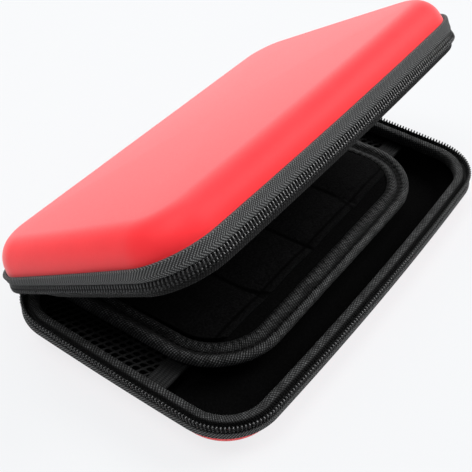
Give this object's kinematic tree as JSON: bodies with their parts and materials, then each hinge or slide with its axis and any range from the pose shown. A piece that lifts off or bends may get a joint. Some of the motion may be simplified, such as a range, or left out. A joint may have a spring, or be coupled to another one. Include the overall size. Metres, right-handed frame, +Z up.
{
  "type": "portable game console case",
  "caption": "Zip-up clamshell case with moulded red halves, black lining, net pocket and a bound page of card pockets.",
  "frame": {"origin": "centre of the tray's flat underside", "axes": "+X along the long side, +Y to the hinge, +Z up"},
  "size_m": [0.1816, 0.1164, 0.0872],
  "materials": {
    "red_skin": "satin, fine leather-look grain",
    "lining_cloth": "brushed knit",
    "edging_cloth": "ribbed grosgrain",
    "zip_tape_cloth": "herringbone weave",
    "zip_teeth_plastic": "satin nylon",
    "net_cloth": "open knit",
    "elastic": "ribbed elastic",
    "page_cloth": "plain weave",
    "zip_metal": "satin black"
  },
  "bodies": {
    "tray": {"tray_shell": "red_skin", "tray_lining": "lining_cloth", "tray_rim_binding": "edging_cloth", "tray_zip_tape": "zip_tape_cloth", "tray_zip_teeth": "zip_teeth_plastic", "mesh_pocket": "net_cloth", "mesh_pocket_band": "elastic", "flap_panel": "page_cloth", "flap_binding": "edging_cloth", "card_pockets": "page_cloth", "flap_hinge_strip": "page_cloth", "spine_strip": "zip_tape_cloth", "zip_slider": "zip_metal"},
    "lid": {"lid_shell": "red_skin", "lid_lining": "lining_cloth", "lid_rim_binding": "edging_cloth", "lid_zip_tape": "zip_tape_cloth", "lid_zip_teeth": "zip_teeth_plastic"},
    "zip_pull": {"zip_pull": "zip_metal"}
  },
  "joints": [
    {"name": "lid_hinge", "type": "hinge", "parent": "tray", "child": "lid", "pos_m": [0, 0.0577, 0.0137], "axis": [-1, 0, 0], "range_deg": [-32, 126.5], "deforming": ["spine_strip"]},
    {"name": "zip_pull_hinge", "type": "hinge", "parent": "tray", "child": "zip_pull", "pos_m": [0.0625, 0.0565, 0.0153], "axis": [0, 0, -1], "range_deg": [0, 175]}
  ]
}
